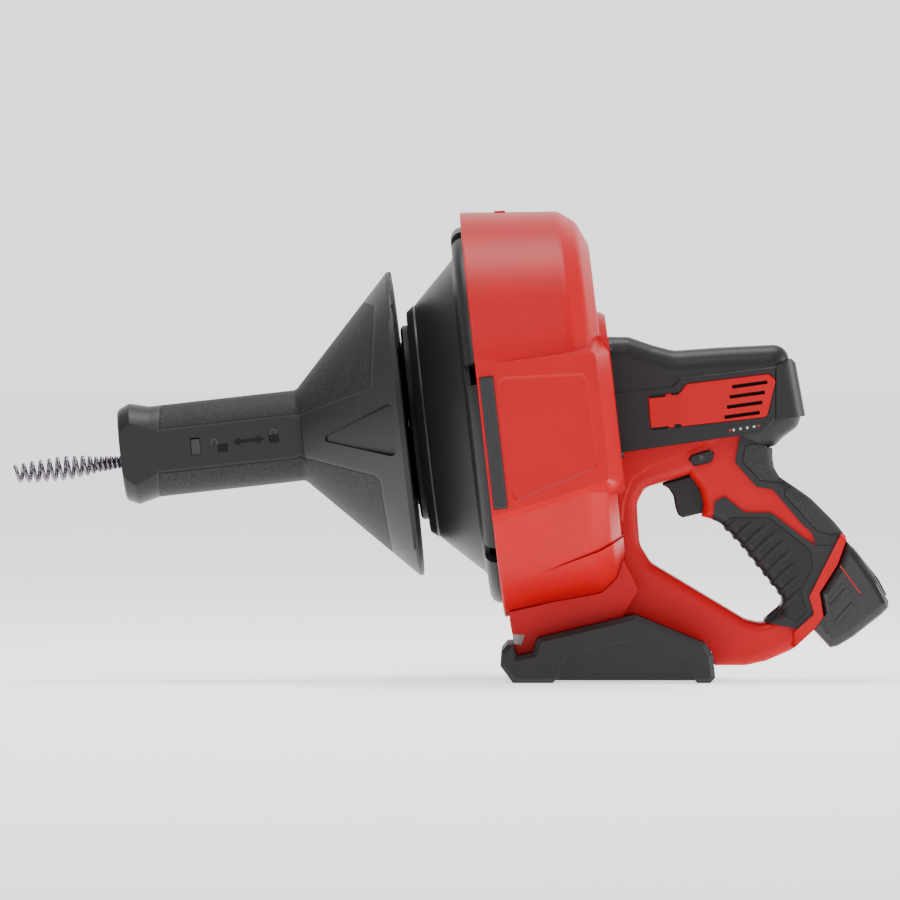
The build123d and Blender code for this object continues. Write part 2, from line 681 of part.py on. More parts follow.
def switch_face():
    return outline((176.5, 118.5), (176.5, 136), (180, 140), (198, 139), (202, 133.5), (190, 118.5))


def switch_module():
    body = both_sides(switch_face(), 9)
    plunger = Pos(175.6, 0, 125) * Box(2, 6, 6)
    return body + plunger


def direction_face(grow=0.0):
    face = outline((155, 143.2, 1.5), (158.4, 139.6, 1.5), (169.2, 142.2, 2), (171.2, 147.2, 1.5), (168.4, 149.5, 1.5),
                   (156.6, 146.2, 1.5))
    return offset(face, grow) if grow else face


def direction_button():
    body = both_sides(direction_face(), FRAME_Y + 3.4)
    body = chamfer(body.faces().sort_by(Axis.Y)[0].edges(), 0.7)
    return chamfer(body.faces().sort_by(Axis.Y)[-1].edges(), 0.7)


def stem_channel(s_low, s_high, extra):
    """Prism of the battery's stem along the grip axis."""
    section = RectangleRounded(40 + 2 * extra, 35.2 + 2 * extra, 8)
    bar = extrude(Plane.YZ.offset(s_low) * (Rot(0, 0, 90) * section), amount=s_high - s_low)
    return GRIP_PLACE * bar


def frame_body(skin_pads):
    body = handle_body(FRAME_Y, 6)
    body += base_block()
    body += fillet(both_sides(collar_face(), COLLAR_Y).edges().filter_by(collar_edge), 3)
    shoulder = shoulder_block()
    body += shoulder
    body -= shroud_clearance()
    body -= box(0, 38.8, -60, 60, 0, 60)
    body -= AXIS_PLACE * box(-40, SHROUD_BACK_U + 0.3, -PANEL_Y - 1, PANEL_Y + 1, -100, 120)
    for pad in skin_pads:
        body -= pad
    cavity_face = offset(frame_outline(), -4.6) - offset(finger_opening(), 4.6)
    body -= both_sides(cavity_face, FRAME_Y - WALL)
    base_cavity = outline((64, 40), (112, 50), (112, 70), (64, 70))
    body -= both_sides(base_cavity, BASE_Y - 3) & box(0, 200, -60, 60, 0, 52)
    body -= trigger_space()
    body -= both_sides(direction_face(0.35), 60)
    body -= stem_channel(-42, 70, 0.3)
    body -= lens_space()
    body -= box(44, 46.5, -10.3, 10.3, 24.2, 29.8)
    return biggest(body)


def collar_edge(edge):
    c = edge.center()
    return abs(c.Y) > COLLAR_Y - 1 and (c.Z < 27 or (c.X > 252 and c.Z > 90))


def lens_face(inset=0.0):
    return outline((38.5, 31.4 - inset), (48.8 - inset, 30.4 - inset), (46.7 - inset, 24 + inset), (38.5, 24.4 + inset))


def lens_space():
    return both_sides(lens_face(), 60) - both_sides(outline((44.2, 40), (60, 40), (60, 10), (44.2, 10)), BASE_Y - 1.4)


def work_light_lens():
    outer = both_sides(lens_face(0.12), BASE_Y - 0.1)
    outer &= both_sides(outline((39.8, 40.4), (41.4, 24, 2), (50, 20), (60, 40)), 60)
    return outer - both_sides(outline((44.1, 40), (60, 40), (60, 10), (44.1, 10)), BASE_Y - 1.3)


def work_light_lamp():
    board = box(44.8, 46.2, -10, 10, 24.5, 29.5)
    return board


def foot():
    """Splayed rubber foot with a sloping ledge, side recesses and two contact pads."""
    face = outline((41, 0), (33, 11), (33.5, 20), (37.4, 24.6), (41, 24.6), (43.8, 17.3), (53.8, 19.3), (57.1, 28.9),
                   (119.7, 43.8), (165.2, 25.2), (170, 18), (171.6, 3.5), (168.3, 0))
    body = both_sides(face, FOOT_Y)
    edges = ShapeList()
    for side in (body.faces().sort_by(Axis.Y)[0], body.faces().sort_by(Axis.Y)[-1]):
        edges += side.edges()
    body = chamfer(edges, 3)
    step = outline((66, -1), (68.5, 1.8), (158.5, 1.8), (160.7, -1))
    body -= both_sides(step, 90)
    recess = outline((68.6, -1), (69.4, 8), (74.5, 18.8, 3), (118.7, 29.4, 3), (151.5, 16.4, 3), (157.6, 6),
                     (158.5, -1))
    floor = extrude(Pos(0, FOOT_Y + 0.01, 0) * recess, amount=1.7, dir=(0, -1, 0), taper=50)
    body -= floor
    body -= mirrored(floor)
    hollow = outline((72, -1), (76, 14), (118.7, 25.6), (148, 13), (152, -1))
    body -= both_sides(hollow, FOOT_Y - 8)
    return body


# ---- battery --------------------------------------------------------------------------------------
def battery_face():
    return outline((256.9, 91.3), (265.8, 81.2, 20), (277.4, 64.6, 20), (284.4, 51.4, 2), (284, 47.6, 1), (280, 43.4, 2),
                   (261.4, 28.8, 20), (251.5, 22.8, 6), (246.4, 21.6, 1), (235.9, 32.9), (242.5, 41.7), (239.9, 57.3),
                   (251.5, 75.9))


def battery_case():
    base = both_sides(battery_face(), BATTERY_Y)
    base = fillet(base.edges().filter_by(battery_edge), 5)
    case = base + stem_channel(-38, 30, 0)
    case -= stem_channel(-36.5, 49, -0.9)
    slot = outline((251.6, 75.4), (253.4, 75.6), (267.2, 56.8), (265.2, 55.4))
    case -= both_sides(slot, 40) - both_sides(slot, BATTERY_Y - 1.2)
    lower = outline((240.9, 40.8), (242.4, 41.2), (245.2, 32), (243.4, 31.2))
    case -= both_sides(lower, 40) - both_sides(lower, BATTERY_Y - 1.2)
    case -= both_sides(latch_face(0.15), 40) - both_sides(latch_face(0.15), BATTERY_Y - 4.4)
    label = both_sides(label_face(), 15.2)
    return case - label


def battery_edge(edge):
    c = edge.center()
    return abs(c.Y) > BATTERY_Y - 1 and c.X + c.Z * 0.8 > 280


def latch_face(grow=0.0):
    face = outline((244.6, 52.2, 1), (254.6, 64.2, 1), (263.6, 51.6, 1), (250.2, 35.4, 1))
    return offset(face, grow) if grow else face


def latch_button():
    """Release button (right side) with two grip ridges."""
    body = slab(latch_face(), BATTERY_Y - 2.0, BATTERY_Y + 0.3)
    for x, z, length in ((251.2, 54.4, 14), (255.4, 45.2, 16)):
        ridge = Pos(x, BATTERY_Y + 0.5, z) * Rot(0, -48, 0) * Box(length, 1.4, 1.5)
        body += chamfer(ridge.faces().sort_by(Axis.Y)[-1].edges(), 0.5)
    return body


def label_face():
    return outline((259.8, 86.2), (277.6, 64.2), (283.2, 54), (284.9, 55), (279, 66.6), (261.5, 89))


def battery_label():
    """Plain panel let into the battery's rear face."""
    face = outline((260.6, 86.1), (277.7, 64.8), (282.7, 55.4), (283.3, 55.8), (278, 66), (261.4, 87))
    return both_sides(face, 15)


def battery_cells():
    cells = []
    for along, across in ((-9.0, 7.7), (9.4, 7.7), (0.2, -7.8)):
        cell = Pos(8, across, along) * Rot(0, 90, 0) * Cylinder(8.9, 65)
        cells.append(GRIP_PLACE * cell)
    return Compound(children=cells)


# ---- making and writing every sub-part ------------------------------------------------------------
def on_axis(shape):
    return AXIS_PLACE * shape


def axis_parts():
    """Sub-parts that are modelled in the drum axis frame."""
    parts = {
        "nozzle_collar": nose_collar(), "nozzle_guard": guide_shell(), "nozzle_tube": guide_tube(),
        "lock_indicator": lock_indicator(), "guide_sleeve": guide_sleeve(), "chuck_body": chuck_body(),
        "chuck_collar": chuck_collar(), "drum_neck": drum_neck(), "neck_screws": neck_screws(),
        "drum_front": drum_front(), "drum_back": drum_back(), "cable_winding": cable_coil(),
        "cable_inner_run": cable_inner_run(), "cable_lead": cable_lead(), "bulb_auger": bulb_auger(),
        "output_spindle": output_spindle(), "drive_hub": drive_hub(), "hub_screws": hub_screws(),
        "drum_shroud": shroud(), "side_bumper_right": side_bumper(), "side_bumper_left": mirrored(side_bumper()),
        "shroud_screws": shroud_screws(), "gearbox_case": gearbox_case(), "spindle_bearing": spindle_bearing(),
        "output_carrier": output_carrier(), "motor_can": motor_can(), "motor_rotor": motor_rotor()}
    for index in range(3):
        parts["chuck_jaw_%d" % (index + 1)] = chuck_jaw(index)
    return {name: on_axis(shape) for name, shape in parts.items()}


def body_parts():
    """Sub-parts that are modelled upright: housing, frame, grips, foot and battery."""
    housing = motor_housing()
    cap = rear_cap()
    housing -= cap
    skin = handle_body(PAD_Y, 6)
    core = grip_core()
    front = front_pad(skin, core)
    palm = palm_pad(skin, core)
    frame = frame_body((front, palm))
    parts = {
        "motor_housing_left": left_half(housing), "motor_housing_right": right_half(housing), "rear_cap": cap,
        "vent_panel_right": vent_panel(), "vent_panel_left": mirrored(vent_panel()),
        "gauge_plate": mirrored(gauge_plate()), "gauge_lamps": gauge_lamps(),
        "frame_left": left_half(frame), "frame_right": right_half(frame),
        "grip_pad": front, "palm_pad": palm, "trigger": trigger(), "switch_module": switch_module(),
        "direction_button": direction_button(), "work_light_lens": work_light_lens(),
        "work_light_lamp": work_light_lamp(), "foot": foot(), "battery_case": battery_case(),
        "battery_label": battery_label(), "battery_cells": battery_cells(),
        "latch_right": latch_button(), "latch_left": mirrored(latch_button())}
    return parts


def main():
    os.makedirs("parts", exist_ok=True)
    for name, shape in {**axis_parts(), **body_parts()}.items():
        export_step(shape, "parts/%s.step" % name)


main()
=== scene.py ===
import json
import math

import bmesh
import bpy
from mathutils import Matrix, Vector, geometry
from mathutils.bvhtree import BVHTree


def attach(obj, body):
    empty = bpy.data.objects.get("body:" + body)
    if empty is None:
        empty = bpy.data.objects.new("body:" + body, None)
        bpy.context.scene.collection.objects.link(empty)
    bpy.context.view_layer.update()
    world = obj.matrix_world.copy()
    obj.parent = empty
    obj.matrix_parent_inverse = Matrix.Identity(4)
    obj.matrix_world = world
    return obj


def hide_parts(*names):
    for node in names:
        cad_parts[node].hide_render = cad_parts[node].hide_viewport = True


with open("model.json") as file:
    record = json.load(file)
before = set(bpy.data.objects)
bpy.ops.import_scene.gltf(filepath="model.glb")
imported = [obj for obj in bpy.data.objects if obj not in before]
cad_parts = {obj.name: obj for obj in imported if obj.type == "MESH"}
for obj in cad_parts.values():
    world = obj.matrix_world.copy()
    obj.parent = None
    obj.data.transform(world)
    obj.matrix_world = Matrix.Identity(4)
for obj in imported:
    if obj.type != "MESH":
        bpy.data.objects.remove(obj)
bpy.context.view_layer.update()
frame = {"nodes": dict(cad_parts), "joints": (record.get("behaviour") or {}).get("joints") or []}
NODES = frame["nodes"]
MM = 0.001

# The drum axis: every turning piece of the machine shares it, nose down to -X.
SPIN = next(j for j in frame["joints"] if j["name"] == "drum_spin")
AXIS_DIR = Vector(SPIN["axis"]).normalized()
AXIS_UP = Vector((0, 1, 0)).cross(AXIS_DIR).normalized() * -1
AXIS_FRAME = Matrix((AXIS_DIR, Vector((0, 1, 0)), AXIS_UP)).transposed().to_4x4()
AXIS_FRAME.translation = Vector(SPIN["pos_m"])


def on_axis(u, y, v):
    """Row-frame point in metres from drum-axis coordinates in millimetres."""
    return AXIS_FRAME @ (Vector((u, y, v)) * MM)


# ---- colours and materials ------------------------------------------------------------------------
def linear(hex_colour):
    """sRGB hex to linear RGBA."""
    channels = [int(hex_colour[i:i + 2], 16) / 255 for i in (1, 3, 5)]
    return [c / 12.92 if c <= 0.04045 else ((c + 0.055) / 1.055) ** 2.4 for c in channels] + [1.0]


def add(tree, kind, settings=None, links=None, **inputs):
    """Adds a node, sets its properties and inputs, and links sockets into it."""
    node = tree.nodes.new(kind)
    for name, value in (settings or {}).items():
        setattr(node, name, value)
    for name, value in inputs.items():
        node.inputs[name.replace("_", " ")].default_value = value
    for key, source in (links or {}).items():
        tree.links.new(source, node.inputs[key])
    return node


def new_material(name):
    material = bpy.data.materials.new(name)
    material.use_nodes = True
    tree = material.node_tree
    tree.nodes.clear()
    shader = add(tree, "ShaderNodeBsdfPrincipled")
    add(tree, "ShaderNodeOutputMaterial", links={"Surface": shader.outputs["BSDF"]})
    position = add(tree, "ShaderNodeTexCoord").outputs["Object"]
    return material, tree, shader, position


def grain(tree, position, size_mm, detail=3.0):
    """Noise whose lumps are about size_mm across."""
    return add(tree, "ShaderNodeTexNoise", links={"Vector": position}, Scale=1.0 / (size_mm * MM),
               Detail=detail).outputs["Fac"]


def mixed(tree, factor, a, b, kind="RGBA"):
    """Mix of two colours or values; each may be a socket."""
    node = add(tree, "ShaderNodeMix", {"data_type": kind}, {"Factor": factor})
    for key, value in (("A", a), ("B", b)):
        if isinstance(value, (list, float)):
            node.inputs[key].default_value = value
        else:
            tree.links.new(value, node.inputs[key])
    return node.outputs["Result"]


def moulded_plastic(name, colour, deep_colour, rough=0.42, rough_swing=0.06, grain_mm=0.7, depth=0.03,
                    sheen_patch_mm=28.0, coat=0.0, specular=0.3):
    """Injection-moulded plastic: satin skin, fine spark-eroded grain, faint flow variation in tone."""
    material, tree, shader, position = new_material(name)
    patch = grain(tree, position, sheen_patch_mm, 2.0)
    tree.links.new(mixed(tree, patch, linear(deep_colour), linear(colour)), shader.inputs["Base Color"])
    fine = grain(tree, position, grain_mm)
    rough_map = add(tree, "ShaderNodeMapRange", links={"Value": fine}, To_Min=rough - rough_swing,
                    To_Max=rough + rough_swing)
    tree.links.new(rough_map.outputs["Result"], shader.inputs["Roughness"])
    bump = add(tree, "ShaderNodeBump", links={"Height": fine}, Strength=0.35, Distance=depth * MM)
    tree.links.new(bump.outputs["Normal"], shader.inputs["Normal"])
    shader.inputs["IOR"].default_value = 1.5
    shader.inputs["Specular IOR Level"].default_value = specular
    shader.inputs["Coat Weight"].default_value = coat
    shader.inputs["Coat Roughness"].default_value = 0.22
    return material


def math_node(tree, operation, a, b):
    node = add(tree, "ShaderNodeMath", {"operation": operation})
    for socket, value in zip(node.inputs, (a, b)):
        if isinstance(value, (int, float)):
            socket.default_value = value
        else:
            tree.links.new(value, socket)
    return node.outputs["Value"]


def polygon_level(tree, x, z, corners):
    """Distance in metres inside a convex outline in the side view (corners in mm), negative outside."""
    centre_x = sum(c[0] for c in corners) / len(corners)
    centre_z = sum(c[1] for c in corners) / len(corners)
    level = None
    for (x0, z0), (x1, z1) in zip(corners, corners[1:] + corners[:1]):
        length = math.hypot(x1 - x0, z1 - z0)
        nx, nz = -(z1 - z0) / length, (x1 - x0) / length
        if nx * (centre_x - x0) + nz * (centre_z - z0) < 0:
            nx, nz = -nx, -nz
        across = math_node(tree, "ADD", math_node(tree, "MULTIPLY", x, nx), math_node(tree, "MULTIPLY", z, nz))
        distance = math_node(tree, "SUBTRACT", across, (nx * x0 + nz * z0) * MM)
        level = distance if level is None else math_node(tree, "MINIMUM", level, distance)
    return level


def polygon_union(tree, position, outlines):
    split = add(tree, "ShaderNodeSeparateXYZ", links={"Vector": position})
    level = None
    for corners in outlines:
        one = polygon_level(tree, split.outputs["X"], split.outputs["Z"], list(corners))
        level = one if level is None else math_node(tree, "MAXIMUM", level, one)
    return level


def inside_mask(tree, level, soften_mm=0.3):
    ramp = add(tree, "ShaderNodeMapRange", links={"Value": level}, From_Min=-soften_mm * MM,
               From_Max=soften_mm * MM)
    return ramp.outputs["Result"]


def line_mask(tree, level, half_width_mm, shift_mm=0.0):
    """1 on the outline, falling to 0 at half_width_mm each side of it."""
    away = math_node(tree, "ABSOLUTE", math_node(tree, "SUBTRACT", level, shift_mm * MM), 0)
    ramp = add(tree, "ShaderNodeMapRange", links={"Value": away}, From_Min=half_width_mm * 0.5 * MM,
               From_Max=half_width_mm * MM, To_Min=1.0, To_Max=0.0)
    return ramp.outputs["Result"]


def zoned_texture(name, outlines, smooth_hex, textured_hex, speckle_hex, groove_shade_hex, grain_mm=1.1, depth_mm=0.28,
                  rough=(0.46, 0.62), groove_mm=0.55, bevel_highlight_hex=None, specular=0.3):
    """Moulded skin whose textured zones lie inside side-view outlines, with a fine groove round each zone; the
    groove's dark colour is painted shade, and an optional lighter line just outside it is a painted bevel
    highlight.
    """
    material, tree, shader, position = new_material(name)
    level = polygon_union(tree, position, outlines)
    mask = inside_mask(tree, level)
    groove = line_mask(tree, level, groove_mm)
    speckle = grain(tree, position, grain_mm, 2.5)
    fine = grain(tree, position, 0.6, 2.0)
    glint = add(tree, "ShaderNodeMapRange", links={"Value": speckle}, From_Min=0.42, From_Max=0.7)
    rough_skin = mixed(tree, glint.outputs["Result"], linear(textured_hex), linear(speckle_hex))
    tone = mixed(tree, mask, linear(smooth_hex), rough_skin)
    # painted highlight: a lighter line just outside each zone stands in for light on the bevelled edge
    if bevel_highlight_hex:
        tone = mixed(tree, line_mask(tree, level, groove_mm * 1.6, -groove_mm * 2), tone, linear(bevel_highlight_hex))
    # painted shade: the groove line is darkened to stand in for the shade inside it
    tone = mixed(tree, groove, tone, linear(groove_shade_hex))
    tree.links.new(tone, shader.inputs["Base Color"])
    height = mixed(tree, mask, fine, speckle, "FLOAT")
    height = math_node(tree, "SUBTRACT", height, math_node(tree, "MULTIPLY", groove, 1.2))
    marked = math_node(tree, "MAXIMUM", mask, groove)
    strength = math_node(tree, "ADD", math_node(tree, "MULTIPLY", marked, 0.7), 0.06)
    bump = add(tree, "ShaderNodeBump", links={"Height": height, "Strength": strength}, Distance=depth_mm * MM)
    tree.links.new(bump.outputs["Normal"], shader.inputs["Normal"])
    rough_map = add(tree, "ShaderNodeMapRange", links={"Value": mask}, To_Min=rough[0], To_Max=rough[1])
    tree.links.new(rough_map.outputs["Result"], shader.inputs["Roughness"])
    shader.inputs["Specular IOR Level"].default_value = specular
    return material


# Textured zones, as outlines in the side view: above and below the smooth band of the nozzle guard,
# the thumb web and the palm of the grip, and the ribbed finger side.
GUARD_ZONES = (
    ((-188, 163.6), (-97, 173.8), (-98, 260), (-188, 260)),
    ((-98.5, 173), (-50.6, 191.5), (-48.6, 243), (-98.5, 260)),
    ((-188, 134.6), (-96, 144.8), (-96, 90), (-188, 60)),
    ((-97, 145.6), (-47.2, 133.8), (-44.4, 130.8), (-37, 84), (-97, 70)),
)
WEB_ZONE = ((191.4, 153), (189.3, 142.5), (200.9, 130.1), (216, 128.4), (216, 157))
PALM_ZONE = ((217, 124.4), (216.7, 120.5), (238.4, 97), (247.7, 95), (262, 101), (240, 135))
RIB_ZONES = (
    ((177.5, 102.6), (182.3, 106.1), (206.9, 106.1), (233.6, 85.2), (235.2, 73.3), (227.3, 58.6), (190, 60)),
    ((200, 62), (226.4, 62), (231.3, 45), (224.6, 38.4), (211, 46)),
)


def rubber_grip(name, colour, speckle_colour, grain_mm=0.9, strength=0.5):
    """Overmoulded thermoplastic elastomer: dull, with a fine sandy tool texture."""
    material, tree, shader, position = new_material(name)
    speckle = grain(tree, position, grain_mm, 3.0)
    peak = add(tree, "ShaderNodeMapRange", links={"Value": speckle}, From_Min=0.5, From_Max=0.75)
    tone = mixed(tree, peak.outputs["Result"], linear(colour), linear(speckle_colour))
    tree.links.new(tone, shader.inputs["Base Color"])
    bump = add(tree, "ShaderNodeBump", links={"Height": speckle}, Strength=strength, Distance=0.2 * MM)
    tree.links.new(bump.outputs["Normal"], shader.inputs["Normal"])
    shader.inputs["Roughness"].default_value = 0.6
    shader.inputs["Specular IOR Level"].default_value = 0.28
    return material


def spring_steel():
    """Drawn spring wire, lightly oiled: bright with heat-tinted violet and brown patches."""
    material, tree, shader, position = new_material("oiled_spring_steel")
    patch = grain(tree, position, 5.0, 3.0)
    tree.links.new(mixed(tree, patch, linear("#3A2630"), linear("#A29CA8")), shader.inputs["Base Color"])
    rough = add(tree, "ShaderNodeMapRange", links={"Value": patch}, To_Min=0.14, To_Max=0.34)
    tree.links.new(rough.outputs["Result"], shader.inputs["Roughness"])
    shader.inputs["Metallic"].default_value = 1.0
    return material


def bare_metal(name, colour, rough, grain_mm):
    """Turned or drawn metal: fine tool marks that break up its shine."""
    material, tree, shader, position = new_material(name)
    fine = grain(tree, position, grain_mm, 2.0)
    rough_map = add(tree, "ShaderNodeMapRange", links={"Value": fine}, To_Min=rough - 0.08, To_Max=rough + 0.1)
    tree.links.new(rough_map.outputs["Result"], shader.inputs["Roughness"])
    shader.inputs["Base Color"].default_value = linear(colour)
    shader.inputs["Metallic"].default_value = 1.0
    return material


def clear_lens():
    """Clear moulded polycarbonate with a faintly frosted inner face."""
    material, tree, shader, position = new_material("clear_polycarbonate")
    frost = grain(tree, position, 1.6, 2.0)
    rough = add(tree, "ShaderNodeMapRange", links={"Value": frost}, To_Min=0.05, To_Max=0.22)
    tree.links.new(rough.outputs["Result"], shader.inputs["Roughness"])
    shader.inputs["Base Color"].default_value = linear("#8A827E")
    shader.inputs["Transmission Weight"].default_value = 0.35
    shader.inputs["IOR"].default_value = 1.58
    return material


def gauge_lamp():
    """Milky lamp window, unlit."""
    material, tree, shader, position = new_material("milky_lamp_window")
    cloud = grain(tree, position, 0.8, 2.0)
    tree.links.new(mixed(tree, cloud, linear("#9A999B"), linear("#C4C3C4")), shader.inputs["Base Color"])
    shader.inputs["Roughness"].default_value = 0.3
    return material


RED = moulded_plastic("red_nylon", "#BC0010", "#B0000E", rough=0.4, grain_mm=0.8, depth=0.03, specular=0.22)
BLACK = moulded_plastic("black_nylon", "#202022", "#1B1B1D", rough=0.42, grain_mm=0.8, depth=0.05)
DEEP_BLACK = moulded_plastic("deep_black_nylon", "#0C0C0D", "#080808", rough=0.5, specular=0.2)
# Nozzle guard: glass-filled nylon with coarse spark texture and a smooth band down each side; the lighter line
# along each band's edge is a painted highlight of a small bevel, and the dark groove line is painted shade.
GUARD = zoned_texture("glass_filled_nylon_guard", GUARD_ZONES, "#1E1E20", "#141415", "#2C2C2D", "#0C0C0D",
                      bevel_highlight_hex="#2A2A2C")
# Grip: overmoulded elastomer with sandy zones under the thumb and palm and plain rubber between; the dark line
# round each zone is painted shade in its groove.
PALM_RUBBER = zoned_texture("elastomer_palm", (WEB_ZONE, PALM_ZONE), "#242426", "#242425", "#333334", "#060606",
                            grain_mm=0.9, rough=(0.5, 0.6))
GRIP_RUBBER = zoned_texture("elastomer_finger_grip", RIB_ZONES, "#242426", "#1A1A1B", "#202021", "#060606",
                            grain_mm=0.7, depth_mm=0.1, rough=(0.5, 0.46))
RIB_RUBBER = rubber_grip("elastomer_ribs", "#1E1E1F", "#262627", 0.7, 0.12)
FOOT_RUBBER = rubber_grip("elastomer_foot", "#242425", "#2A2A2B", 0.8, 0.18)
BUMPER = rubber_grip("elastomer_bumper", "#2A2A2C", "#303032", 0.8, 0.2)
BATTERY = moulded_plastic("polycarbonate_battery_case", "#242426", "#1E1E20", rough=0.27, grain_mm=0.9, depth=0.005,
                          coat=0.3)
LABEL = moulded_plastic("label_print_red", "#B80A14", "#A80812", rough=0.28, depth=0.01, coat=0.2)
LABEL_BLACK = moulded_plastic("label_film_black", "#121213", "#0E0E0F", rough=0.25, depth=0.01, coat=0.3)
GAUGE = moulded_plastic("smoked_gauge_film", "#1C1C1E", "#18181A", rough=0.25, depth=0.01, coat=0.2)
WIRE = spring_steel()
STEEL = bare_metal("turned_steel", "#B9B9BC", 0.3, 0.6)
CASTING = bare_metal("die_cast_aluminium", "#A9ABAD", 0.42, 1.0)
SCREW_METAL = bare_metal("black_zinc_screw", "#3A3A3D", 0.38, 0.5)
LENS = clear_lens()
LAMP = gauge_lamp()
LAMP_BOARD = moulded_plastic("white_lamp_board", "#DAD9CF", "#CFCEC3", rough=0.4)
CELL = moulded_plastic("shrink_sleeve", "#2C4A8C", "#26427F", rough=0.32, depth=0.01)
INDICATOR = moulded_plastic("grey_acetal", "#3E3E40", "#38383A", rough=0.35, depth=0.01)

FINISHES = {
    RED: ("drum_shroud", "frame_left", "frame_right", "vent_panel_left", "vent_panel_right"),
    BLACK: ("nozzle_collar", "drum_front", "drum_back", "motor_housing_left", "motor_housing_right",
            "rear_cap", "trigger", "direction_button"),
    DEEP_BLACK: ("drum_neck", "nozzle_tube", "guide_sleeve", "switch_module"),
    GUARD: ("nozzle_guard",),
    GRIP_RUBBER: ("grip_pad",),
    PALM_RUBBER: ("palm_pad",),
    FOOT_RUBBER: ("foot",),
    BUMPER: ("side_bumper_left", "side_bumper_right"),
    BATTERY: ("battery_case", "latch_left", "latch_right"),
    LABEL_BLACK: ("battery_label",),
    GAUGE: ("gauge_plate",),
    LAMP: ("gauge_lamps",),
    LENS: ("work_light_lens",),
    LAMP_BOARD: ("work_light_lamp",),
    WIRE: ("cable_winding", "cable_inner_run", "cable_lead", "bulb_auger"),
    STEEL: ("chuck_body", "chuck_collar", "chuck_jaw_1", "chuck_jaw_2", "chuck_jaw_3", "output_spindle",
            "output_carrier", "spindle_bearing", "drive_hub", "motor_rotor"),
    CASTING: ("gearbox_case", "motor_can"),
    SCREW_METAL: ("neck_screws", "hub_screws", "shroud_screws"),
    CELL: ("battery_cells",),
    INDICATOR: ("lock_indicator",),
}


def paint_frame():
    for material, names in FINISHES.items():
        for name in names:
            slots = NODES[name].material_slots
            if not slots:
                NODES[name].data.materials.append(material)
            for material_slot in slots:
                material_slot.material = material


paint_frame()


# ---- mesh helpers ---------------------------------------------------------------------------------
def piece_from_mesh(name, mesh, material, body):
    piece = bpy.data.objects.new(name, mesh)
    bpy.context.scene.collection.objects.link(piece)
    mesh.materials.clear()
    mesh.materials.append(material)
    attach(piece, body)
    return piece


def shade_smooth(mesh, angle=40):
    mesh.shade_smooth()
    mesh.set_sharp_from_angle(angle=math.radians(angle))


def plate(name, points, normal, thickness_mm, material, body):
    """Flat plate from an ordered outline of row-frame points, raised along normal."""
    bm = bmesh.new()
    face = bm.faces.new([bm.verts.new(p) for p in points])
    if face.normal.dot(normal) < 0:
        face.normal_flip()
    top = bmesh.ops.extrude_face_region(bm, geom=[face])
    moved = [v for v in top["geom"] if isinstance(v, bmesh.types.BMVert)]
    bmesh.ops.translate(bm, verts=moved, vec=Vector(normal) * thickness_mm * MM)
    bmesh.ops.recalc_face_normals(bm, faces=bm.faces)
    mesh = bpy.data.meshes.new(name)
    bm.to_mesh(mesh)
    bm.free()
    return piece_from_mesh(name, mesh, material, body)


# ---- bulb auger: the wire helix -------------------------------------------------------------------
AUGER_TIP_U = -284.7
AUGER_END_U = -198       # inside the nozzle
OPEN_PITCH = 5.6
CLOSE_PITCH = 3.05
CLOSING_U = -247         # where the turns start to close up
CLOSING_LENGTH = 22
WIRE_R = 1.3
CABLE_DROP = 4.3         # the cable lies this far below the axis
STEPS_PER_TURN = 28


def auger_radius(u):
    """Centre-line radius of the wire along the bulb, fattest a third of the way back."""
    stations = ((-285.5, 4.7), (-272, 6.0), (-252, 6.85), (-243, 6.1), (-228, 3.9), (-216, 2.85), (-190, 2.7))
    for (u0, r0), (u1, r1) in zip(stations, stations[1:]):
        if u <= u1:
            t = min(max((u - u0) / (u1 - u0), 0), 1)
            return r0 + (r1 - r0) * t * t * (3 - 2 * t)
    return stations[-1][1]


def auger_path():
    """Points of the wire from its free tip to inside the nozzle."""
    points = []
    u = AUGER_TIP_U
    angle = 0.0
    while u < AUGER_END_U:
        r = auger_radius(u)
        points.append(on_axis(u, -r * math.sin(angle), -CABLE_DROP + r * math.cos(angle)))
        blend = min(max((u - CLOSING_U) / CLOSING_LENGTH, 0), 1)
        pitch = OPEN_PITCH + (CLOSE_PITCH - OPEN_PITCH) * blend
        u += pitch / STEPS_PER_TURN
        angle += 2 * math.pi / STEPS_PER_TURN
    return points


def wire_tree():
    """Geometry nodes that give a path the round section of a wire."""
    tree = bpy.data.node_groups.new("wire_section", "GeometryNodeTree")
    tree.interface.new_socket("Geometry", in_out="INPUT", socket_type="NodeSocketGeometry")
    tree.interface.new_socket("Wire radius", in_out="INPUT", socket_type="NodeSocketFloat")
    tree.interface.new_socket("Sides", in_out="INPUT", socket_type="NodeSocketInt")
    tree.interface.new_socket("Material", in_out="INPUT", socket_type="NodeSocketMaterial")
    tree.interface.new_socket("Geometry", in_out="OUTPUT", socket_type="NodeSocketGeometry")
    inputs = add(tree, "NodeGroupInput")
    circle = add(tree, "GeometryNodeCurvePrimitiveCircle",
                 links={"Radius": inputs.outputs["Wire radius"], "Resolution": inputs.outputs["Sides"]})
    tube = add(tree, "GeometryNodeCurveToMesh",
               links={"Curve": inputs.outputs["Geometry"], "Profile Curve": circle.outputs["Curve"]})
    tube.inputs["Fill Caps"].default_value = True
    real = add(tree, "GeometryNodeRealizeInstances", links={"Geometry": tube.outputs["Mesh"]})
    skin = add(tree, "GeometryNodeSetMaterial",
               links={"Geometry": real.outputs["Geometry"], "Material": inputs.outputs["Material"]})
    add(tree, "NodeGroupOutput", links={"Geometry": skin.outputs["Geometry"]})
    return tree


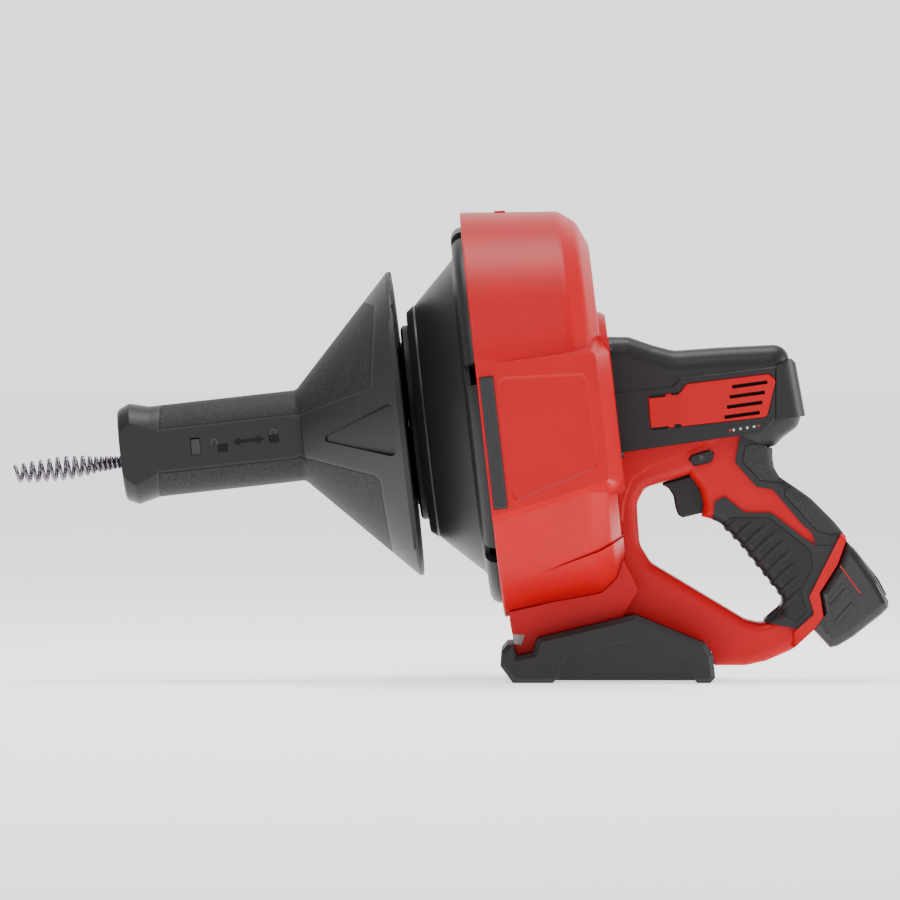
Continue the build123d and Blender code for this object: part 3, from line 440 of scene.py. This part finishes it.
def apply_tree(holder, tree, values, name):
    """Runs a node tree on an object and returns its result as a plain mesh."""
    modifier = holder.modifiers.new("build", "NODES")
    modifier.node_group = tree
    for item in tree.interface.items_tree:
        if item.item_type == "SOCKET" and item.in_out == "INPUT" and item.name in values:
            modifier[item.identifier] = values[item.name]
    bpy.context.view_layer.update()
    depsgraph = bpy.context.evaluated_depsgraph_get()
    mesh = bpy.data.meshes.new_from_object(holder.evaluated_get(depsgraph))
    mesh.name = name
    holder.modifiers.remove(modifier)
    bpy.data.objects.remove(holder)
    return mesh


def path_object(name, runs):
    """Curve object with one polyline for each list of points."""
    curve = bpy.data.curves.new(name, "CURVE")
    curve.dimensions = "3D"
    for points in runs:
        spline = curve.splines.new("POLY")
        spline.points.add(len(points) - 1)
        for point, place in zip(spline.points, points):
            point.co = (*place, 1)
    holder = bpy.data.objects.new(name, curve)
    bpy.context.scene.collection.objects.link(holder)
    return holder


WIRE_TREE = wire_tree()


def bulb_auger():
    """Spring of the bulb head, in place of its plain outer shape."""
    holder = path_object("auger_wire_path", [auger_path()])
    mesh = apply_tree(holder, WIRE_TREE, {"Wire radius": WIRE_R * MM, "Sides": 12, "Material": WIRE}, "auger_wire")
    shade_smooth(mesh, 60)
    piece = piece_from_mesh("auger_wire", mesh, WIRE, "cable")
    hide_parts("bulb_auger")


bulb_auger()


# ---- pictograms on the nozzle's flat sides --------------------------------------------------------
FLAT_Y = 25.8           # the flats of the nozzle, from the middle plane
SIGN_THICKNESS = 0.12


def side_plate(name, outline_uv, side, thickness, material, body):
    """Plate on a flat that faces left (side -1) or right (side +1); outline in axis (u, v) mm."""
    points = [on_axis(u, side * FLAT_Y, v) for u, v in outline_uv]
    return plate(name, points, Vector((0, side, 0)), thickness, material, body)


def circle_points(u, v, r, start, end, count):
    return [(u + r * math.cos(math.radians(start + (end - start) * i / count)),
             v + r * math.sin(math.radians(start + (end - start) * i / count))) for i in range(count + 1)]


def padlock(name, u, v, shackle_shift, side):
    """Generic padlock sign: a body plate and a shackle hoop, shifted aside when open."""
    body = [(u - 3.4, v - 5.2), (u + 3.4, v - 5.2), (u + 3.4, v), (u - 3.4, v)]
    side_plate(name + "_body", body, side, SIGN_THICKNESS, DEEP_BLACK, "guide")
    cu = u + shackle_shift
    hoop = circle_points(cu, v + 1.6, 2.2, 0, 180, 10) + circle_points(cu, v + 1.6, 1.4, 180, 0, 10)
    hoop = [(cu + 2.2, v)] + hoop[:11] + [(cu - 2.2, v), (cu - 1.4, v)] + hoop[11:] + [(cu + 1.4, v)]
    side_plate(name + "_shackle", hoop, side, SIGN_THICKNESS, INDICATOR, "guide")


def slide_arrow(name, side):
    """Double arrow for the lock's slide."""
    arrow = [(-141.5, 0.6), (-136.5, 3.4), (-136.5, 1.7), (-125.5, 1.7), (-125.5, 3.4), (-120.5, 0.6),
             (-125.5, -2.2), (-125.5, -0.5), (-136.5, -0.5), (-136.5, -2.2)]
    side_plate(name, arrow, side, SIGN_THICKNESS, DEEP_BLACK, "guide")


def nozzle_signs():
    for side, word in ((-1, "left"), (1, "right")):
        padlock("lock_open_sign_" + word, -148.0, 0.4, -5.2, side)
        padlock("lock_closed_sign_" + word, -114.6, 2.6, 0.0, side)
        slide_arrow("slide_arrow_sign_" + word, side)


nozzle_signs()


# ---- grip ribs ------------------------------------------------------------------------------------
RIB_FIRST = (181.0, 99.8)       # finger-side ends of the first and last rib in the side view, mm
RIB_LAST = (222.6, 54.8)
RIB_ANGLE = math.radians(43)    # slope of the ribs in the side view
RIB_LENGTHS = (9.0, 16.0, 21.0, 23.0, 23.0, 21.5, 18.0, 14.5, 10.5)
RIB_R = 2.3
RIB_PROUD = 0.95         # how far a rib stands out of the pad
RIB_STEPS = 36           # points along a rib
RIB_FADE_STEPS = 3.5     # the last points at each end sink into the pad
RAY_START = 0.09         # metres from the middle of a rib, outside the grip


def surface_of(node_name):
    """Ray-cast tree of a frame part, in the row frame."""
    part = NODES[node_name]
    points = [part.matrix_world @ v.co for v in part.data.vertices]
    return BVHTree.FromPolygons(points, [tuple(f.vertices) for f in part.data.polygons])


def rib_path(surface, edge, length):
    """Line over the grip from one side round the finger edge to the other, sunk so that its crest shows."""
    along = Vector((math.cos(RIB_ANGLE), 0, math.sin(RIB_ANGLE)))
    centre = Vector((edge[0], 0, edge[1])) * MM + along * length * MM
    points = []
    for i in range(RIB_STEPS + 1):
        turn = math.radians(-90 + 180 * i / RIB_STEPS)
        ray = -along * math.cos(turn) + Vector((0, 1, 0)) * math.sin(turn)
        hit, normal, _, _ = surface.ray_cast(centre + ray * RAY_START, -ray)
        if hit is None:
            continue
        end_fade = max(0.0, 1 - min(i, RIB_STEPS - i) / RIB_FADE_STEPS)
        depth = RIB_R - RIB_PROUD + end_fade * RIB_PROUD * 1.3
        points.append(hit - normal * depth * MM)
    return points


def grip_ribs():
    """Nine rounded ribs that wrap the finger side of the grip."""
    surface = surface_of("grip_pad")
    runs = []
    for i, length in enumerate(RIB_LENGTHS):
        t = i / (len(RIB_LENGTHS) - 1)
        edge = [a + (b - a) * t for a, b in zip(RIB_FIRST, RIB_LAST)]
        runs.append(rib_path(surface, edge, length))
    holder = path_object("grip_rib_paths", runs)
    values = {"Wire radius": RIB_R * MM, "Sides": 20, "Material": RIB_RUBBER}
    mesh = apply_tree(holder, WIRE_TREE, values, "grip_ribs")
    shade_smooth(mesh, 60)
    piece_from_mesh("grip_ribs", mesh, RIB_RUBBER, "root")


grip_ribs()


# ---- small printed and moulded marks ---------------------------------------------------------------
BUTTON_END_Y = 23.4      # ends of the direction button
GAUGE_FACE_Y = -29.1     # left side only
SLOT_FLOOR_Y = 22.35
ARROW_MIDDLE = (163.6, 144.9)
def flat_mark(name, outline_xz, y, thickness, material, body):
    """Thin plate on a face square to Y; it is raised away from the middle of the machine."""
    side = 1 if y > 0 else -1
    points = [Vector((x, y, z)) * MM for x, z in outline_xz]
    plate(name, points, Vector((0, side, 0)), thickness, material, body)


def direction_arrows():
    """Forward and reverse arrowheads on the two ends of the direction button."""
    for side, word in ((-1, "left"), (1, "right")):
        tip = 1.8 if side < 0 else -1.8
        x, z = ARROW_MIDDLE
        flat_mark("direction_arrow_" + word, [(x + tip, z + 0.1), (x - tip, z + 2.1), (x - tip, z - 2.1)],
                  side * BUTTON_END_Y, SIGN_THICKNESS, INDICATOR, "direction_button")


def gauge_marks():
    """Red end marks of the charge gauge."""
    for name, x, z, way in (("gauge_mark_low", 181.6, 162.6, 1), ("gauge_mark_full", 199.6, 165.6, -1)):
        flat_mark(name, [(x - way * 0.8, z - 0.9), (x - way * 0.8, z + 0.9), (x + way * 0.8, z)], GAUGE_FACE_Y,
                  0.08, LABEL, "root")


def battery_slot_liners():
    """Red liner seen at the bottom of the long slot on each side of the battery."""
    outline = [(252.4, 74.9), (253.3, 75.1), (266.4, 57.2), (265.6, 56.6)]
    for side, word in ((-1, "left"), (1, "right")):
        flat_mark("battery_slot_liner_" + word, outline, side * SLOT_FLOOR_Y, 0.35, LABEL, "battery")


LABEL_BARS = (
    ("label_bar_upper", (263.2, 84.6), (266.9, 79.9)),
    ("label_bar_lower", (279.2, 63.5), (280.9, 60.3)),
)
BAR_HALF_WIDTH = 12
BAR_SINK = 0.05          # the bars start this far under the label's face


def label_bars():
    """Plain red bars printed across the battery's label."""
    for name, low, high in LABEL_BARS:
        along = Vector((high[0] - low[0], 0, high[1] - low[1]))
        normal = along.cross(Vector((0, 1, 0))).normalized()
        normal = normal if normal.x > 0 else -normal
        corners = ((low, -1), (high, -1), (high, 1), (low, 1))
        points = [(Vector((x, side * BAR_HALF_WIDTH, z)) - normal * BAR_SINK) * MM for (x, z), side in corners]
        plate(name, points, normal, 0.2, LABEL, "battery")


SHADE_RING_PLAY = 0.06         # between the dark ring and the button, which slides through it
SHADE_RING_REACH = 1.0         # the ring's outer edge is inside the frame's wall
SHADE_RING_Y = (17.6, 18.0)


def direction_button_gap_shade():
    """Thin dark ring on the frame, painted shade that closes the play round the direction button, near each side.
    """
    flat = [(v.co.x, v.co.z) for v in NODES["direction_button"].data.vertices]
    rim = [Vector(flat[i]) for i in geometry.convex_hull_2d(flat)]
    middle = sum(rim, Vector((0, 0))) / len(rim)
    section = ((SHADE_RING_PLAY, SHADE_RING_Y[0]), (SHADE_RING_REACH, SHADE_RING_Y[0]), (SHADE_RING_REACH, SHADE_RING_Y[1]), (SHADE_RING_PLAY, SHADE_RING_Y[1]))
    for side, word in ((-1, "left"), (1, "right")):
        bm = bmesh.new()
        loops = []
        for grow, y in section:
            grown = [p + (p - middle).normalized() * grow * MM for p in rim]
            loops.append([bm.verts.new((p.x, side * y * MM, p.y)) for p in grown])
        for inner, outer in zip(loops, loops[1:] + loops[:1]):
            for i in range(len(rim)):
                j = (i + 1) % len(rim)
                bm.faces.new((inner[i], inner[j], outer[j], outer[i]))
        bmesh.ops.recalc_face_normals(bm, faces=bm.faces)
        name = "direction_button_gap_shade_" + word
        mesh = bpy.data.meshes.new(name)
        bm.to_mesh(mesh)
        bm.free()
        piece_from_mesh(name, mesh, DEEP_BLACK, "root")


# Painted shade: flat dark sheets placed where the vents and gaps would show only shade inside the machine.
VENT_SHADE_SHEET = [(176, 168.6), (206.4, 172.2), (208.6, 195.2), (181, 193.6)]
VENT_SHADE_SHEET_Y = 22.6
GAP_SHADE_SHEETS = (
    ("housing_joint_shade_sheet", [(187.6, 160.7), (205.2, 152.8), (204.4, 150.9), (186.9, 158.8)]),
    ("trigger_gap_shade_sheet", [(137.2, 128.0), (156.6, 133.86), (156.2, 135.4), (136.8, 129.6)]),
)


def gap_shade_sheets():
    """Dark sheets inside the machine that paint the shade behind the vents, along the housing's joint and above the
    trigger.
    """
    for side, word in ((-1, "left"), (1, "right")):
        flat_mark("vent_shade_sheet_" + word, VENT_SHADE_SHEET, side * VENT_SHADE_SHEET_Y, 0.4, DEEP_BLACK, "root")
    for name, outline in GAP_SHADE_SHEETS:
        flat_mark(name, outline, 0.1, 0.6, DEEP_BLACK, "root")


direction_arrows()
direction_button_gap_shade()
gap_shade_sheets()
gauge_marks()
battery_slot_liners()
label_bars()


# ---- stage, light and camera ----------------------------------------------------------------------
def studio_floor():
    mesh = bpy.data.meshes.new("studio_floor")
    bm = bmesh.new()
    bmesh.ops.create_grid(bm, x_segments=1, y_segments=1, size=60)
    bm.to_mesh(mesh)
    bm.free()
    floor = bpy.data.objects.new("studio_floor", mesh)
    bpy.context.scene.collection.objects.link(floor)
    material, _, shader, _ = new_material("pale_studio_floor")
    shader.inputs["Base Color"].default_value = linear("#F4F4F4")
    shader.inputs["Roughness"].default_value = 0.95
    shader.inputs["Specular IOR Level"].default_value = 0.0
    shader.inputs["Emission Color"].default_value = (1, 1, 1, 1)
    shader.inputs["Emission Strength"].default_value = FLOOR_GLOW
    mesh.materials.append(material)
    floor.location.z = -0.0002


def area_light(name, place, target, size, watts):
    light = bpy.data.lights.new(name, "AREA")
    light.shape = "RECTANGLE"
    light.size, light.size_y = size
    light.energy = watts
    lamp = bpy.data.objects.new(name, light)
    lamp.location = place
    lamp.rotation_euler = (Vector(target) - Vector(place)).to_track_quat("-Z", "Y").to_euler()
    bpy.context.scene.collection.objects.link(lamp)


ROOM_GLOW = 0.5       # dim room in front of and above the machine
WALL_GLOW = 1.9       # bright wall behind it
FLOOR_GLOW = 1.2


def studio():
    studio_floor()
    world = bpy.data.worlds.new("soft_white_room")
    bpy.context.scene.world = world
    world.use_nodes = True
    tree = world.node_tree
    background = tree.nodes["Background"]
    way = add(tree, "ShaderNodeSeparateXYZ", links={"Vector": add(tree, "ShaderNodeTexCoord").outputs["Generated"]})
    glow = add(tree, "ShaderNodeMapRange", {"interpolation_type": "SMOOTHSTEP"}, {"Value": way.outputs["Y"]},
               From_Min=0.55, From_Max=0.9, To_Min=ROOM_GLOW, To_Max=WALL_GLOW)
    background.inputs["Color"].default_value = (1, 1, 1, 1)
    tree.links.new(glow.outputs["Result"], background.inputs["Strength"])
    area_light("key_light", (-0.5, -1.6, 1.9), (0, 0, 0.16), (1.0, 0.8), 20)
    area_light("rear_strip", (2.0, -0.05, 0.45), (0.1, 0, 0.16), (0.9, 0.9), 26)
    area_light("top_light", (0.0, 0.3, 2.0), (0, 0, 0.16), (1.6, 0.7), 34)


def camera():
    view_width = 0.585
    distance = 6.0
    azimuth, elevation = math.radians(0.6), math.radians(0.8)
    target = Vector((0.0, 0, 0.1495))
    away = Vector((math.sin(azimuth) * math.cos(elevation), -math.cos(azimuth) * math.cos(elevation),
                   math.sin(elevation)))
    data = bpy.data.cameras.new("camera")
    data.sensor_width = 36
    data.lens = 36 * distance / view_width
    data.clip_end = 30
    eye = bpy.data.objects.new("camera", data)
    eye.location = target + away * distance
    eye.rotation_euler = (-away).to_track_quat("-Z", "Y").to_euler()
    bpy.context.scene.collection.objects.link(eye)
    bpy.context.scene.camera = eye


studio()
camera()
bpy.context.view_layer.update()
